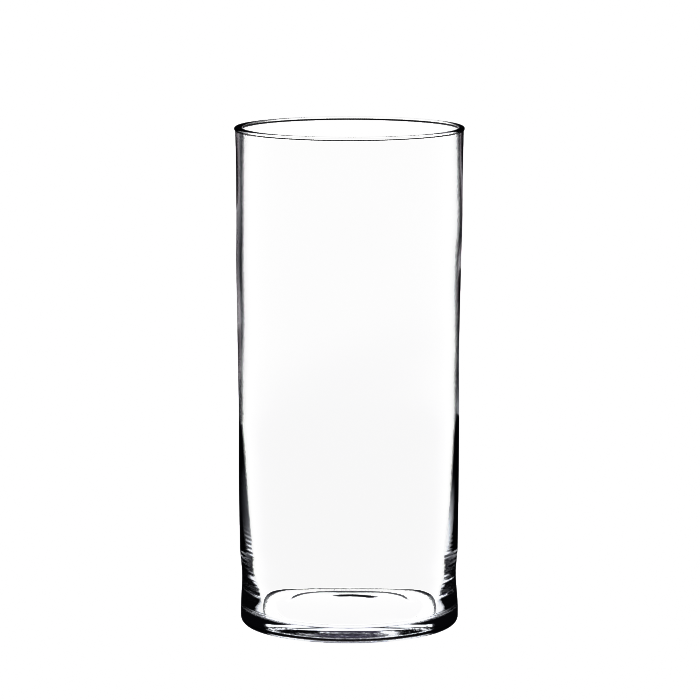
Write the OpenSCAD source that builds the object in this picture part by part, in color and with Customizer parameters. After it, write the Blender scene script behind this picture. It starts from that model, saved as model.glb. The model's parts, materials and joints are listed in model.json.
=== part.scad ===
// Tall glass cylinder vase: a side of clear glass that flares a little towards a round lip,
// thickens towards the heel, and closes in a thick floor with a shallow hollow under it.
// The six zones of the glass meet face to face, and z is 0 on the surface it stands on.

/* [Side] */
// Height from the surface it stands on to the top of the lip
height = 400; // [300:5:500]
// Radius of the true cylinder inside, from the mouth down to where the glass thickens
bore_r = 86.2; // [60:0.1:120]
// Thickness of the side just under the lip
lip_wall_t = 4.5; // [4:0.05:5]
// How far the outside draws in from the lip to the foot, on the radius
flare = 3.25; // [0:0.25:3.5]

/* [Rim] */
// Radius of the small bead round the outside of the lip
bead_r = 1.5; // [1:0.1:1.6]
// How far the bead stands proud of the outside
bead_proud = 0.75; // [0.3:0.05:0.9]
// Radius of the lip's rounded inner edge
lip_in_r = 1; // [0.5:0.1:2.4]
// Height of the rim, down from the top of the lip
rim_h = 8; // [6:1:20]

/* [Heel] */
// Depth of the shallow waist round the outside, above the foot
waist_depth = 1.4; // [0.5:0.1:2]
// Height of the waist's narrowest place
waist_z = 40; // [30:1:50]
// How far the waist reaches above its narrowest place
waist_rise = 22; // [15:1:30]
// Extra thickness of the side where it meets the floor
swell = 12; // [10:0.5:18]
// Height at which the extra thickness has died away
swell_top = 165; // [140:5:200]
// How quickly the extra thickness dies away
swell_power = 1.45; // [1.2:0.05:2.2]
// Radius of the corner between the side and the floor inside
corner_r = 5.5; // [4:0.5:8]

/* [Base] */
// Height of the floor inside, above the surface it stands on
base_t = 10; // [8:0.5:14]
// Radius of the foot's rounded edge
edge_r = 6; // [3:0.5:7]
// Height of the hollow under the base, at its middle
punt_h = 1; // [0.4:0.05:2]
// Width of the flat ring that the vase stands on
bearing_w = 21.5; // [18:0.5:30]

/* [Hidden] */
glass = [0.82, 0.9, 0.9, 0.45];
turn_fn = 160;
arc_fn = 48;
round_step = 15;
foot_r = bore_r + lip_wall_t - flare;
punt_r = foot_r - edge_r - bearing_w;
floor_r = bore_r - swell - corner_r;
heel_top = waist_z + waist_rise;
rim_z = height - rim_h;
bead_mid = outside(height) + bead_proud - bead_r;
bead_z = height - bead_r;

// Depth of the waist at height z: a smooth dip that dies away at the base and at heel_top
function waist_at(z) =
    let (reach = z < waist_z ? waist_z - base_t : waist_rise)
    abs(z - waist_z) < reach ? waist_depth * (1 + cos(180 * (z - waist_z) / reach)) / 2 : 0;

// Radius of the outside at height z
function outside(z) = foot_r + flare * pow(z / height, 2) - waist_at(z);

// Radius of the inside at height z, above the corner
function inside(z) =
    z < swell_top ? bore_r - swell * pow((swell_top - z) / (swell_top - base_t), swell_power) : bore_r;

// Evenly spaced values from one to the other, both included
function heights(from, to, count) = [for (i = [0:count]) from + (to - from) * i / count];

// Points on the outside going up, and on the inside coming down
function outside_up(zs) = [for (z = zs) [outside(z), z]];
function inside_down(zs) = [for (i = [len(zs) - 1:-1:0]) [inside(zs[i]), zs[i]]];

// Points round the inside corner, from its top down to the floor
function corner_down() = [
    for (a = [90 - round_step:-round_step:0])
        let (z = base_t + corner_r * (1 - cos(a)))
        [inside(z) - corner_r * (1 - sin(a)), z]
];

// Points round the foot's edge, from the flat face that the vase stands on up to the side
function edge_up() = [
    for (a = [0:round_step:90 - round_step])
        [foot_r - edge_r * (1 - sin(a)), edge_r * (1 - cos(a))]
];

// Height of the shallow dome under the base at radius r, and points along it going outwards
function dome(r) = punt_h * (1 - pow(r / punt_r, 2));
function dome_out(from, to, count) = [for (r = heights(from, to, count)) [r, dome(r)]];

// A zone of the side, turned from its outline
module turned_zone(points) {
    color(glass) rotate_extrude($fn = turn_fn) polygon(points);
}

// Flat floor of the vase, with the shallow hollow under it
module base() {
    turned_zone(concat(dome_out(0, punt_r, 6), [[floor_r, 0], [floor_r, base_t], [0, base_t]]));
}

// Ring round the floor, with the rounded edge of the foot
module foot() {
    turned_zone(concat([[floor_r, 0]], edge_up(), outside_up([edge_r, base_t]), [[floor_r, base_t]]));
}

// Thick ring above the foot, with the inside corner and the waist outside
module heel() {
    rise = heights(base_t, heel_top, 13);
    bowl = heights(base_t + corner_r, heel_top, 6);
    turned_zone(concat(outside_up(rise), inside_down(bowl), corner_down()));
}

// Stretch of the side that gets thinner as it rises
module lower_wall() {
    outer = heights(heel_top, swell_top, 4);
    inner = heights(heel_top, swell_top, 10);
    turned_zone(concat(outside_up(outer), inside_down(inner)));
}

// Stretch of the side that is a true cylinder inside
module upper_wall() {
    outer = heights(swell_top, rim_z, 10);
    turned_zone(concat(outside_up(outer), inside_down([swell_top, rim_z])));
}

// Lip of the mouth: rounded on the inside, and with a small bead proud of the outside
module rim() {
    lip_mid = bore_r + lip_in_r;
    color(glass) rotate_extrude($fn = turn_fn) union() {
        polygon([
            [bore_r, rim_z], [outside(rim_z), rim_z], [outside(bead_z), bead_z],
            [bead_mid, height], [lip_mid, height], [bore_r, height - lip_in_r]
        ]);
        translate([lip_mid, height - lip_in_r]) circle(lip_in_r, $fn = arc_fn);
        translate([bead_mid, bead_z]) circle(bead_r, $fn = arc_fn);
    }
}

base();
foot();
heel();
lower_wall();
upper_wall();
rim();
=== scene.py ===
import json
import math

import bpy
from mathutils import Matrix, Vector


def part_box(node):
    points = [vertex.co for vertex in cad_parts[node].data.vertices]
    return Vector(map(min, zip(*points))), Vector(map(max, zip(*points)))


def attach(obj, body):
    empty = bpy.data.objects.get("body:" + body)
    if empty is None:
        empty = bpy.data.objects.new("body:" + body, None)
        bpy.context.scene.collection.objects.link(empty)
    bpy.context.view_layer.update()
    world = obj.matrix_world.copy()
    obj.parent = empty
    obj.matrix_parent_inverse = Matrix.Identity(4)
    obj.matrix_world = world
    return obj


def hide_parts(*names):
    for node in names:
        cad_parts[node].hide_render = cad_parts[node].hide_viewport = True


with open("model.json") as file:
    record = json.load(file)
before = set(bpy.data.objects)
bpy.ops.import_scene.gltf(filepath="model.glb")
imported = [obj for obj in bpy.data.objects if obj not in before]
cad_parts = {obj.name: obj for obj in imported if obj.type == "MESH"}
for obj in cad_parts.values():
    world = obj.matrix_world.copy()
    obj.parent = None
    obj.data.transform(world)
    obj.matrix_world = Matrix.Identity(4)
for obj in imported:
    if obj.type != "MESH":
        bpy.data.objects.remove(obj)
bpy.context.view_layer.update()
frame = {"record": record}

# ---------------------------------------------------------------------------
# Sizes, in metres
# ---------------------------------------------------------------------------

MM = 0.001

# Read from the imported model
MOUTH = next(m for m in frame["record"]["mounts"] if m["name"] == "mouth")
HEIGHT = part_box("rim")[1][2]
RIM_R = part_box("rim")[1][0]
BORE_R = MOUTH["dims"]["r_mm"] * MM
FOOT_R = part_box("foot")[1][0]
FLOOR_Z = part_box("base")[1][2]
WAIST_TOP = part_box("heel")[1][2]
SWELL_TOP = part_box("lower_wall")[1][2]

# Driving sizes of the design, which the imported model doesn't hold
FLARE = 3.25 * MM
BEAD_R = 1.5 * MM
LIP_IN_R = 1.0 * MM
WAIST_DEPTH = 1.4 * MM
WAIST_Z = 40.0 * MM
SWELL = 12.0 * MM
SWELL_POWER = 1.45
CORNER_R = 5.5 * MM
EDGE_R = 6.0 * MM
PUNT_H = 1.0 * MM
BEARING_W = 21.5 * MM
PUNT_R = FOOT_R - EDGE_R - BEARING_W

# How far the inside corner reaches over the floor, which is more than its radius
CORNER_W = 7.5 * MM

# Chill waves on the floor inside: height, radius of the crest, and reach to either side of it
LONG_CHILL = (0.36 * MM, 51.0 * MM, 4.8 * MM)
SHORT_CHILL = (0.80 * MM, 28.0 * MM, 8.0 * MM)

# Ripples on the heel
RIPPLE_H = 0.028 * MM
RIPPLE_PITCH = 3.6 * MM

# Edges of the finish's two patches, each from where it starts to fade to where it is gone
RING_TOP = (0.4 * MM, 1.2 * MM)
RING_IN = (60.0 * MM, 61.2 * MM)
RING_OUT = (81.5 * MM, 84.5 * MM)
PITS_TOP = (8.0 * MM, 11.0 * MM)
PITS_IN = (81.5 * MM, 83.5 * MM)

# Mesh: columns round the vase, and the radius of the smallest ring round its middle
TURN_STEPS = 192
POLE_R = 2.0 * MM
# Closer rows lie this near to where the hollow ends, and to where the side meets the bead
HOLLOW_EDGE = 2.0 * MM
NECK_EDGE = 0.8 * MM
# The closest rows cover the side between the first two heights, for the waist and the ripples,
# and slightly closer ones go on to the third
FINE_FROM, FINE_TO, FINE_END = 20.0 * MM, 86.0 * MM, 120.0 * MM
# Closer rows cover the floor outside this radius, for the chill waves
FINE_FLOOR_R = 18.0 * MM
# Inside this radius the underside and the floor are free of the side's waves
STILL_R = 60.0 * MM


# ---------------------------------------------------------------------------
# The glass's outline: points of radius, height and skin, where skin is 1 outside and 0 inside
# ---------------------------------------------------------------------------

def waist_at(z):
    """Depth of the shallow waist above the foot."""
    reach = WAIST_Z - FLOOR_Z if z < WAIST_Z else WAIST_TOP - WAIST_Z
    if abs(z - WAIST_Z) >= reach:
        return 0.0
    return WAIST_DEPTH * (1 + math.cos(math.pi * (z - WAIST_Z) / reach)) / 2


def outside(z):
    """Radius of the outside at height z."""
    return FOOT_R + FLARE * (z / HEIGHT) ** 2 - waist_at(z)


def inside(z):
    """Radius of the inside at height z, above the corner."""
    if z >= SWELL_TOP:
        return BORE_R
    return BORE_R - SWELL * ((SWELL_TOP - z) / (SWELL_TOP - FLOOR_Z)) ** SWELL_POWER


def span(start, end, rows):
    """Evenly spaced values from start to end, without the end itself."""
    return [start + (end - start) * i / rows for i in range(rows)]


def underside():
    """From the middle of the hollow, over the flat standing ring and round the foot's edge."""
    points = []
    near_edge = PUNT_R - HOLLOW_EDGE
    for r in span(POLE_R, near_edge, rows=18) + span(near_edge, PUNT_R, rows=8):
        points.append((r, PUNT_H * (1 - (r / PUNT_R) ** 2), 1))
    for r in span(PUNT_R, FOOT_R - EDGE_R, rows=8):
        points.append((r, 0.0, 1))
    for a in span(0, math.pi / 2, rows=12):
        points.append((FOOT_R - EDGE_R + EDGE_R * math.sin(a), EDGE_R * (1 - math.cos(a)), 1))
    return points


def side_and_lip():
    """Up the outside, round the bead, over the lip and round its inner edge."""
    bead_mid, bead_z = RIM_R - BEAD_R, HEIGHT - BEAD_R
    lip_mid, lip_z = BORE_R + LIP_IN_R, HEIGHT - LIP_IN_R
    meet = -math.acos((outside(HEIGHT) - bead_mid) / BEAD_R)
    neck = bead_z + BEAD_R * math.sin(meet)
    heights = span(EDGE_R, FINE_FROM, rows=12) + span(FINE_FROM, FINE_TO, rows=140)
    heights += span(FINE_TO, FINE_END, rows=10) + span(FINE_END, neck - NECK_EDGE, rows=68)
    heights += span(neck - NECK_EDGE, neck, rows=8)
    points = [(outside(z), z, 1) for z in heights]
    for a in span(meet, math.pi / 2, rows=26):
        points.append((bead_mid + BEAD_R * math.cos(a), bead_z + BEAD_R * math.sin(a), 1))
    for t in span(0, 1, rows=5):
        points.append((bead_mid + (lip_mid - bead_mid) * t, HEIGHT, 1 - t))
    for a in span(math.pi / 2, math.pi, rows=18):
        points.append((lip_mid + LIP_IN_R * math.cos(a), lip_z + LIP_IN_R * math.sin(a), 0))
    return points


def bore_and_floor():
    """Down the inside, round the inside corner and across the floor to its middle."""
    points = []
    for z in span(HEIGHT - LIP_IN_R, SWELL_TOP, rows=50):
        points.append((BORE_R, z, 0))
    for z in span(SWELL_TOP, FLOOR_Z + CORNER_R, rows=46):
        points.append((inside(z), z, 0))
    for a in span(math.pi / 2, 0, rows=20):
        z = FLOOR_Z + CORNER_R * (1 - math.cos(a))
        points.append((inside(z) - CORNER_W * (1 - math.sin(a)), z, 0))
    floor_r = inside(FLOOR_Z) - CORNER_W
    for r in span(floor_r, FINE_FLOOR_R, rows=60) + span(FINE_FLOOR_R, POLE_R, rows=8):
        points.append((r, FLOOR_Z, 0))
    points.append((POLE_R, FLOOR_Z, 0))
    return points


# ---------------------------------------------------------------------------
# The glass's unevenness, in metres, at height z and one angle of turn
# ---------------------------------------------------------------------------

def smoothstep(low, high, x):
    """0 up to low, 1 from high on, and a smooth step between them."""
    t = min(1.0, max(0.0, (x - low) / (high - low)))
    return t * t * (3 - 2 * t)


def bump(x, middle, reach):
    """A smooth hump, 1 at the middle and 0 from reach away."""
    near = (x - middle) / reach
    return (1 + math.cos(math.pi * near)) / 2 if abs(near) < 1 else 0.0


def chill(r, turn):
    """Height of the chill waves at radius r: a long one round the back half, a short one behind."""
    long_height, long_r, long_reach = LONG_CHILL
    short_height, short_r, short_reach = SHORT_CHILL
    long_wave = long_height * bump(r, long_r, long_reach) * smoothstep(-0.1, 0.2, math.sin(turn))
    short_wave = short_height * bump(r, short_r, short_reach) * smoothstep(0.72, 0.97, math.sin(turn + 0.2))
    return long_wave + short_wave


def outside_wave(z, turn):
    """How far the outside stands out from its outline."""
    wave = 0.12 * math.cos(2 * turn + 1.1 + 21 * z) * math.cos(31 * z + 0.7)
    wave += 0.10 * math.cos(3 * turn - 0.6 - 34 * z)
    wave += 0.07 * math.cos(5 * turn + 2.3 + 58 * z)
    wave += 0.20 + 0.26 * math.cos(39 * (z - 0.29))
    return wave * MM


def bore_wave(z, turn):
    """How far the inside stands back from its outline."""
    wave = 0.16 * math.cos(2 * turn - 0.4 - 37 * z)
    wave += 0.10 * math.cos(4 * turn + 1.9 + 49 * z)
    return wave * MM


def lean(z):
    """How far both skins stand over to the left."""
    over = 0.65 * (1 - smoothstep(0.29, 0.325, z)) - 0.25 * (1 - smoothstep(0.17, 0.20, z))
    over -= 0.40 * (1 - smoothstep(0.01, 0.05, z))
    return over * MM


def bore_drift(z):
    """How far the bore stands over to the right, in the upper half."""
    return 0.9 * MM * smoothstep(0.20, 0.25, z)


def ripple(z, turn):
    """Fine ripples on the left and right of the heel's front half."""
    band = smoothstep(0.022, 0.034, z) * (1 - smoothstep(0.045, 0.085, z))
    band *= smoothstep(0.75, 0.95, abs(math.cos(turn)))
    band *= 1 - smoothstep(-0.05, 0.25, math.sin(turn))
    return band * RIPPLE_H * math.sin(2 * math.pi * z / RIPPLE_PITCH + 1.5 * math.sin(2 * turn + 0.4))


def place(r, z, skin, turn):
    """Where a point of the outline goes at one angle of turn, with the glass's unevenness."""
    body = smoothstep(0.012, 0.07, z)
    waves = outside_wave(z, turn) * skin + bore_wave(z, turn) * (1 - skin)
    if r > STILL_R:
        r += body * waves + ripple(z, turn) * skin
    x = r * math.cos(turn) - lean(z) + (1 - skin) * bore_drift(z) * body
    if skin == 0 and z == FLOOR_Z:
        z += chill(r, turn)
    return Vector((x, r * math.sin(turn), z))


def glass_mesh():
    """The vase as one closed skin of glass."""
    points = underside() + side_and_lip() + bore_and_floor()
    verts = []
    for r, z, skin in points:
        for i in range(TURN_STEPS):
            verts.append(place(r, z, skin, 2 * math.pi * i / TURN_STEPS))
    faces = []
    for row in range(len(points) - 1):
        for i in range(TURN_STEPS):
            j = (i + 1) % TURN_STEPS
            a, b = row * TURN_STEPS, (row + 1) * TURN_STEPS
            faces.append((a + i, a + j, b + j, b + i))
    first, last = len(verts), len(verts) + 1
    verts.append(Vector((0, 0, PUNT_H)))
    verts.append(Vector((0, 0, FLOOR_Z)))
    top = (len(points) - 1) * TURN_STEPS
    for i in range(TURN_STEPS):
        j = (i + 1) % TURN_STEPS
        faces.append((first, j, i))
        faces.append((last, top + i, top + j))
    mesh = bpy.data.meshes.new("vase_glass")
    mesh.from_pydata(verts, [], faces)
    mesh.polygons.foreach_set("use_smooth", [True] * len(mesh.polygons))
    mesh.update()
    return mesh


# ---------------------------------------------------------------------------
# Materials
# ---------------------------------------------------------------------------

class Graph:
    """Short ways to add nodes to one node tree."""

    def __init__(self, tree):
        self.nodes = tree.nodes
        self.links = tree.links

    def put(self, socket, value):
        """A link where value is another node's output, and a plain value otherwise."""
        if hasattr(value, "is_linked"):
            self.links.new(value, socket)
        else:
            socket.default_value = value

    def maths(self, operation, *values):
        node = self.nodes.new("ShaderNodeMath")
        node.operation = operation
        for socket, value in zip(node.inputs, values):
            self.put(socket, value)
        return node.outputs[0]

    def times(self, first, second):
        return self.maths("MULTIPLY", first, second)

    def equals(self, value, number):
        """1 where a whole number has this value, and 0 elsewhere."""
        return self.maths("COMPARE", value, number, 0.1)

    def ramp(self, value, start, end, low=0.0, high=1.0):
        """low up to start, high from end on, and a smooth step between them."""
        node = self.nodes.new("ShaderNodeMapRange")
        node.interpolation_type = "SMOOTHSTEP"
        for name, number in (("From Min", start), ("From Max", end), ("To Min", low), ("To Max", high)):
            node.inputs[name].default_value = number
        self.put(node.inputs["Value"], value)
        return node.outputs["Result"]

    def below(self, value, start, end):
        """1 up to start, 0 from end on, and a smooth step between them."""
        return self.ramp(value, start, end, 1, 0)

    def mix(self, factor, first, second):
        node = self.nodes.new("ShaderNodeMix")
        node.data_type = "RGBA"
        self.put(node.inputs[0], factor)
        self.put(node.inputs[6], first)
        self.put(node.inputs[7], second)
        return node.outputs[2]

    def noise(self, vector, scale, detail):
        node = self.nodes.new("ShaderNodeTexNoise")
        node.inputs["Scale"].default_value = scale
        node.inputs["Detail"].default_value = detail
        self.links.new(vector, node.inputs["Vector"])
        return node.outputs["Fac"]

    def coordinates(self, kind):
        """The place or direction being shaded, whole and split into x, y and z."""
        where = self.nodes.new("ShaderNodeTexCoord").outputs[kind]
        split = self.nodes.new("ShaderNodeSeparateXYZ")
        self.links.new(where, split.inputs[0])
        return where, split.outputs


def new_material(name):
    material = bpy.data.materials.new(name)
    material.use_nodes = True
    nodes = material.node_tree.nodes
    nodes.clear()
    return material, nodes, material.node_tree.links


def finish_group():
    """The glass's finish: a ground, stippled standing ring, fine pits round the foot's edge,
    and faint draw lines up the side."""
    group = bpy.data.node_groups.new("glass_finish", "ShaderNodeTree")
    group.interface.new_socket("Height", in_out="OUTPUT", socket_type="NodeSocketFloat")
    group.interface.new_socket("Roughness", in_out="OUTPUT", socket_type="NodeSocketFloat")
    g = Graph(group)
    out = g.nodes.new("NodeGroupOutput")
    where, (x, y, z) = g.coordinates("Object")
    across = g.maths("SQRT", g.maths("ADD", g.maths("POWER", x, 2), g.maths("POWER", y, 2)))

    ring = g.times(g.below(z, *RING_TOP), g.ramp(across, *RING_IN))
    ring = g.times(ring, g.below(across, *RING_OUT))
    stipple = g.noise(where, scale=420, detail=3)

    stretched = g.nodes.new("ShaderNodeMapping")
    stretched.inputs["Scale"].default_value = (1, 1, 0.12)
    g.links.new(where, stretched.inputs["Vector"])
    draw_lines = g.noise(stretched.outputs[0], scale=30, detail=2)

    edge = g.times(g.below(z, *PITS_TOP), g.ramp(across, *PITS_IN))
    stipple_height, draw_height, pit_height, stipple_rough = 0.6, 0.02, 0.10, 0.12
    pits = g.times(edge, g.times(g.noise(where, scale=700, detail=2), pit_height))
    height = g.maths("MULTIPLY_ADD", g.times(ring, stipple), stipple_height, g.times(draw_lines, draw_height))
    g.links.new(g.maths("ADD", height, pits), out.inputs["Height"])
    g.links.new(g.times(ring, g.times(stipple, stipple_rough)), out.inputs["Roughness"])
    return group


def glass_material():
    """Clear glass, refracting, with the finish of its own group."""
    material, nodes, links = new_material("clear_glass")
    out = nodes.new("ShaderNodeOutputMaterial")
    shader = nodes.new("ShaderNodeBsdfPrincipled")
    shader.inputs["Base Color"].default_value = (1, 1, 1, 1)
    shader.inputs["IOR"].default_value = 1.5
    shader.inputs["Transmission Weight"].default_value = 1.0
    finish = nodes.new("ShaderNodeGroup")
    finish.node_tree = finish_group()
    relief = nodes.new("ShaderNodeBump")
    relief.inputs["Strength"].default_value = 1.0
    relief.inputs["Distance"].default_value = 0.5 * MM
    links.new(finish.outputs["Height"], relief.inputs["Height"])
    links.new(finish.outputs["Roughness"], shader.inputs["Roughness"])
    links.new(relief.outputs["Normal"], shader.inputs["Normal"])
    links.new(shader.outputs["BSDF"], out.inputs["Surface"])
    return material


# ---------------------------------------------------------------------------
# Studio: directions are in degrees, rise up from level and aside from straight behind the vase
# ---------------------------------------------------------------------------

# Levels of light. WHITE is the one that the film shows as plain white
WHITE = 1.45
HIGH_SWEEP = (2.3, 2.3, 2.3, 1)
LOW_SWEEP = (2.85, 2.85, 2.8, 1)
NEAR_SWEEP = (1.6, 1.6, 1.6, 1)
UNLIT = (0, 0, 0, 1)
DARK_ROOM = (0.03, 0.03, 0.04, 1)
MAUVE_ROOM = (0.50, 0.45, 0.475, 1)
PALE_ROOM = (1.4, 1.42, 1.46, 1)
PURPLE_DUSK = (0.22, 0.21, 0.27, 1)
WHITE_PANEL = (1.5, 1.52, 1.56, 1)
FLOOR_GLEAM = (1.45, 1.47, 1.5, 1)


def behind_the_glass(g, rise, one_wall, two_walls):
    """What comes straight through the glass: a bright sweep, with nothing above or below it."""
    over_lip = g.times(one_wall, g.below(rise, -3, -1.5))
    over_side = g.times(two_walls, g.below(rise, 6, 9))
    window = g.times(g.ramp(rise, -50, -42), g.maths("ADD", over_lip, over_side))
    sweep = g.mix(g.ramp(rise, -13, -5.3), LOW_SWEEP, HIGH_SWEEP)
    sweep = g.mix(one_wall, sweep, NEAR_SWEEP)
    return g.mix(window, UNLIT, sweep)


def around_the_side(g, rise, aside):
    """What the side reflects inside its wall: a dark room, mauve just under level, pale further down."""
    glow = g.times(g.ramp(rise, -8.2, -5.8), g.below(rise, -1, 1))
    glow = g.times(glow, g.below(aside, 23, 28))
    room = g.mix(glow, DARK_ROOM, MAUVE_ROOM)
    return g.mix(g.below(rise, -22, -18), room, PALE_ROOM)


def around_the_foot(g, rise, aside):
    """What the thick foot reflects: white near level, and above and below that a purple dusk
    between two white panels, with the dark room beyond them."""
    panels = g.times(g.ramp(aside, 13, 17), g.below(aside, 34, 38))
    beside = g.mix(g.ramp(aside, 20, 40), PURPLE_DUSK, DARK_ROOM)
    beside = g.mix(panels, beside, WHITE_PANEL)
    level = g.times(g.below(g.maths("ABSOLUTE", rise), 15, 20), g.below(aside, 34, 38))
    return g.mix(level, beside, WHITE_PANEL)


def studio_world():
    """Bright-field lighting: a bright sweep behind the glass, in a dark room.

    What comes straight through the glass shows the sweep, and what the glass reflects inside
    it shows the room, so the edges draw themselves dark from every side. The world tells the
    two apart by how often the light bounced and how often it passed through a skin of glass.
    """
    world = bpy.data.worlds.new("studio")
    bpy.context.scene.world = world
    world.use_nodes = True
    world.node_tree.nodes.clear()
    g = Graph(world.node_tree)
    out = g.nodes.new("ShaderNodeOutputWorld")
    light = g.nodes.new("ShaderNodeBackground")
    path = g.nodes.new("ShaderNodeLightPath")
    (x, y, z) = g.coordinates("Generated")[1]
    rise = g.maths("DEGREES", g.maths("ARCSINE", z))
    aside = g.maths("ABSOLUTE", g.maths("DEGREES", g.maths("ARCTAN2", x, y)))

    bounces = g.maths("SUBTRACT", path.outputs["Ray Depth"], 1)
    passes = path.outputs["Transmission Depth"]
    one_wall = g.times(g.equals(bounces, 2), g.equals(passes, 2))
    two_walls = g.times(g.equals(bounces, 4), g.equals(passes, 4))
    in_wall = g.times(g.equals(bounces, 3), g.equals(passes, 2))
    in_floor = g.times(g.maths("GREATER_THAN", bounces, 3.5), g.equals(passes, 2))
    off_floor = g.times(g.equals(bounces, 5), g.equals(passes, 4))
    off_floor = g.times(off_floor, g.times(g.ramp(rise, 7, 9), g.below(rise, 17, 20)))

    dark = g.mix(in_wall, DARK_ROOM, around_the_side(g, rise, aside))
    dark = g.mix(in_floor, dark, around_the_foot(g, rise, aside))
    dark = g.mix(off_floor, dark, FLOOR_GLEAM)
    bright = behind_the_glass(g, rise, one_wall, two_walls)
    seen = g.mix(g.maths("ADD", one_wall, two_walls), dark, bright)
    colour = g.mix(path.outputs["Is Camera Ray"], seen, (WHITE, WHITE, WHITE, 1))
    g.links.new(colour, light.inputs["Color"])
    g.links.new(light.outputs[0], out.inputs["Surface"])


def studio_floor():
    """A plain pale floor, lit evenly and without a shadow, just under the vase."""
    half = 3.0
    mesh = bpy.data.meshes.new("floor")
    corners = [(-half, -half, 0), (half, -half, 0), (half, half, 0), (-half, half, 0)]
    mesh.from_pydata(corners, [], [(0, 1, 2, 3)])
    floor = bpy.data.objects.new("floor", mesh)
    bpy.context.scene.collection.objects.link(floor)
    floor.location.z = -0.5 * MM
    material, nodes, links = new_material("pale_sweep")
    out = nodes.new("ShaderNodeOutputMaterial")
    glow = nodes.new("ShaderNodeEmission")
    glow.inputs["Color"].default_value = (1, 1, 1, 1)
    glow.inputs["Strength"].default_value = WHITE
    links.new(glow.outputs[0], out.inputs["Surface"])
    mesh.materials.append(material)
    for way in ("diffuse", "glossy", "transmission", "volume_scatter", "shadow"):
        setattr(floor, "visible_" + way, False)


def camera():
    """A long lens in front of the vase, a little above it and looking slightly down."""
    distance, eye_height, off_middle = 3.2, 0.698, 0.0005
    look_down = 8.477
    data = bpy.data.cameras.new("camera")
    data.sensor_width = 36.0
    data.lens = 208.4
    obj = bpy.data.objects.new("camera", data)
    bpy.context.scene.collection.objects.link(obj)
    obj.location = (off_middle, -distance, eye_height)
    obj.rotation_euler = (math.radians(90 - look_down), 0, 0)
    bpy.context.scene.camera = obj


def film():
    """A contrasty curve that is white at WHITE, and dips a little above it, so that the
    brightest glass keeps a faint tone. x is the light divided by full_light."""
    full_light = 3
    ends = ((0, 0), (1, 0.93))
    between = ((0.05, 0.02), (0.135, 0.15), (0.235, 0.45), (0.31, 0.88), (0.4, 0.97), (0.483, 1.0),
               (0.64, 0.98), (0.73, 0.945), (0.83, 0.93))
    view = bpy.context.scene.view_settings
    view.view_transform = "Standard"
    view.use_curve_mapping = True
    mapping = view.curve_mapping
    mapping.white_level = (full_light, full_light, full_light)
    mapping.extend = "HORIZONTAL"
    curve = mapping.curves[3]
    for point, (x, y) in zip(curve.points, ends):
        point.location = (x, y)
    for x, y in between:
        curve.points.new(x, y)
    mapping.update()


def light_bounces():
    """Enough bounces for light that is caught in the thick foot."""
    cycles = bpy.context.scene.cycles
    cycles.max_bounces = 32
    cycles.transmission_bounces = 32
    cycles.glossy_bounces = 16
    cycles.transparent_max_bounces = 16


# ---------------------------------------------------------------------------
# The scene
# ---------------------------------------------------------------------------

camera()
studio_floor()
studio_world()
film()
light_bounces()

vase = bpy.data.objects.new("vase_glass", glass_mesh())
bpy.context.scene.collection.objects.link(vase)
vase.data.materials.append(glass_material())
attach(vase, "root")
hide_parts("base", "foot", "heel", "lower_wall", "upper_wall", "rim")
